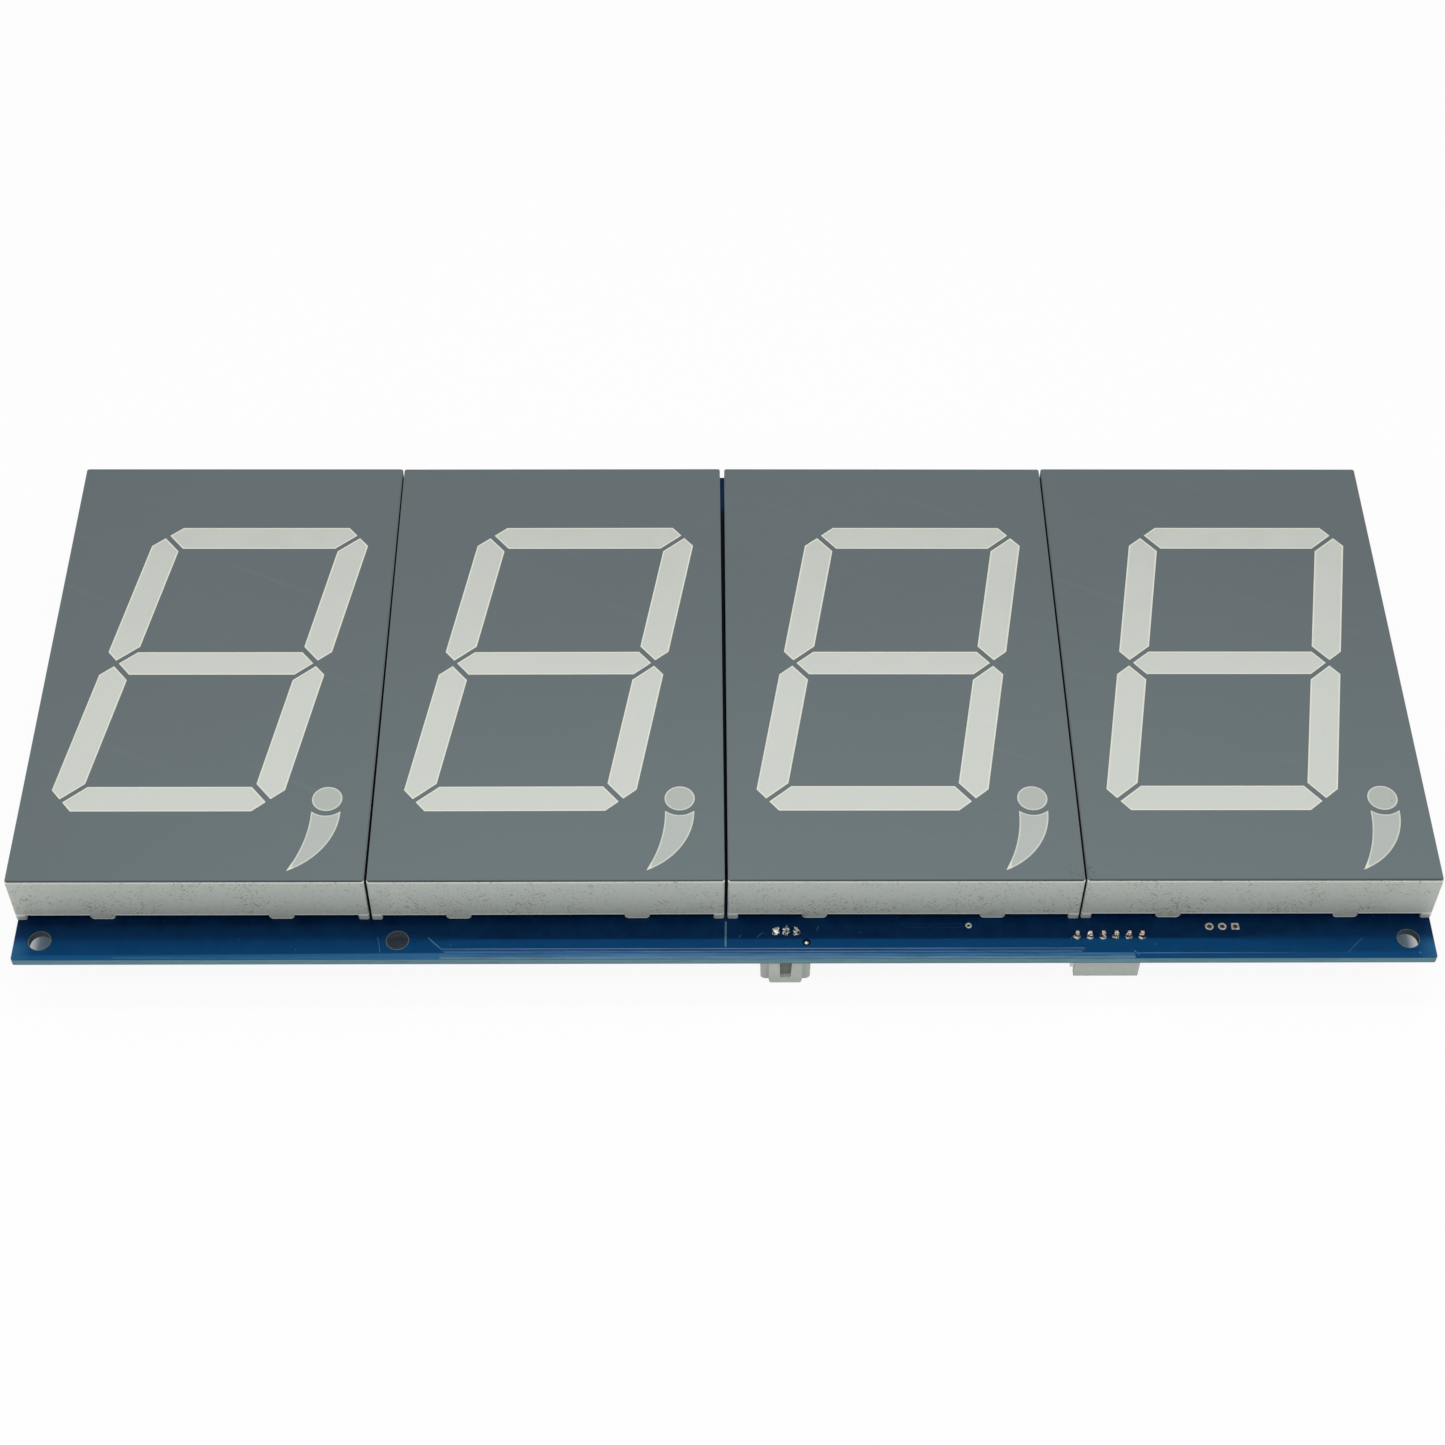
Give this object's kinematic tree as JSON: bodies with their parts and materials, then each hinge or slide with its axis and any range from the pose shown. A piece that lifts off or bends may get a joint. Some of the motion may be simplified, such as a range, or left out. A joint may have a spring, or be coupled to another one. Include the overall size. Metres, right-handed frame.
{
  "type": "large digit display board",
  "caption": "Row of large slanted bar digits with comma points on a blue circuit board, with plug headers on its rear.",
  "frame": {"origin": "centre of the board's rear face, at the centre of the corner hole pattern", "axes": "+X along the row of digits to the right, +Y towards the tops of the figures, +Z out of the faces"},
  "size_m": [0.2777, 0.13, 0.0231],
  "materials": {
    "housing_plastic": "fine moulded, off-white",
    "face_film": "satin slate-grey film",
    "light_bar_resin": "milky cast resin",
    "light_board": "green lacquered laminate",
    "light_chip": "clear resin over the die",
    "tinned_pin": "tinned brass",
    "board_lacquer": "glossy blue lacquer",
    "header_nylon": "natural white nylon",
    "solder": "bright solder",
    "chip_resin": "moulded black resin",
    "resistor_body": "black glaze between tinned ends",
    "ceramic_body": "tan ceramic between tinned ends",
    "capacitor_sleeve": "shrunk plastic sleeve"
  },
  "bodies": {
    "root": {"housing_1": "housing_plastic", "face_film_1": "face_film", "light_bars_1": "light_bar_resin", "light_board_1": "light_board", "light_chips_1": "light_chip", "digit_pins_1": "tinned_pin", "housing_2": "housing_plastic", "face_film_2": "face_film", "light_bars_2": "light_bar_resin", "light_board_2": "light_board", "light_chips_2": "light_chip", "digit_pins_2": "tinned_pin", "housing_3": "housing_plastic", "face_film_3": "face_film", "light_bars_3": "light_bar_resin", "light_board_3": "light_board", "light_chips_3": "light_chip", "digit_pins_3": "tinned_pin", "housing_4": "housing_plastic", "face_film_4": "face_film", "light_bars_4": "light_bar_resin", "light_board_4": "light_board", "light_chips_4": "light_chip", "digit_pins_4": "tinned_pin", "main_board": "board_lacquer", "power_header_shroud": "header_nylon", "power_header_pins": "tinned_pin", "signal_header_base": "header_nylon", "signal_header_pins": "tinned_pin", "top_solder_joints": "solder", "rear_solder_joints": "solder", "open_pads": "solder", "driver_chips": "chip_resin", "driver_chip_leads": "tinned_pin", "bar_resistors": "resistor_body", "ceramic_capacitors": "ceramic_body", "bulk_capacitors": "capacitor_sleeve", "bulk_capacitor_leads": "tinned_pin"}
  },
  "joints": []
}
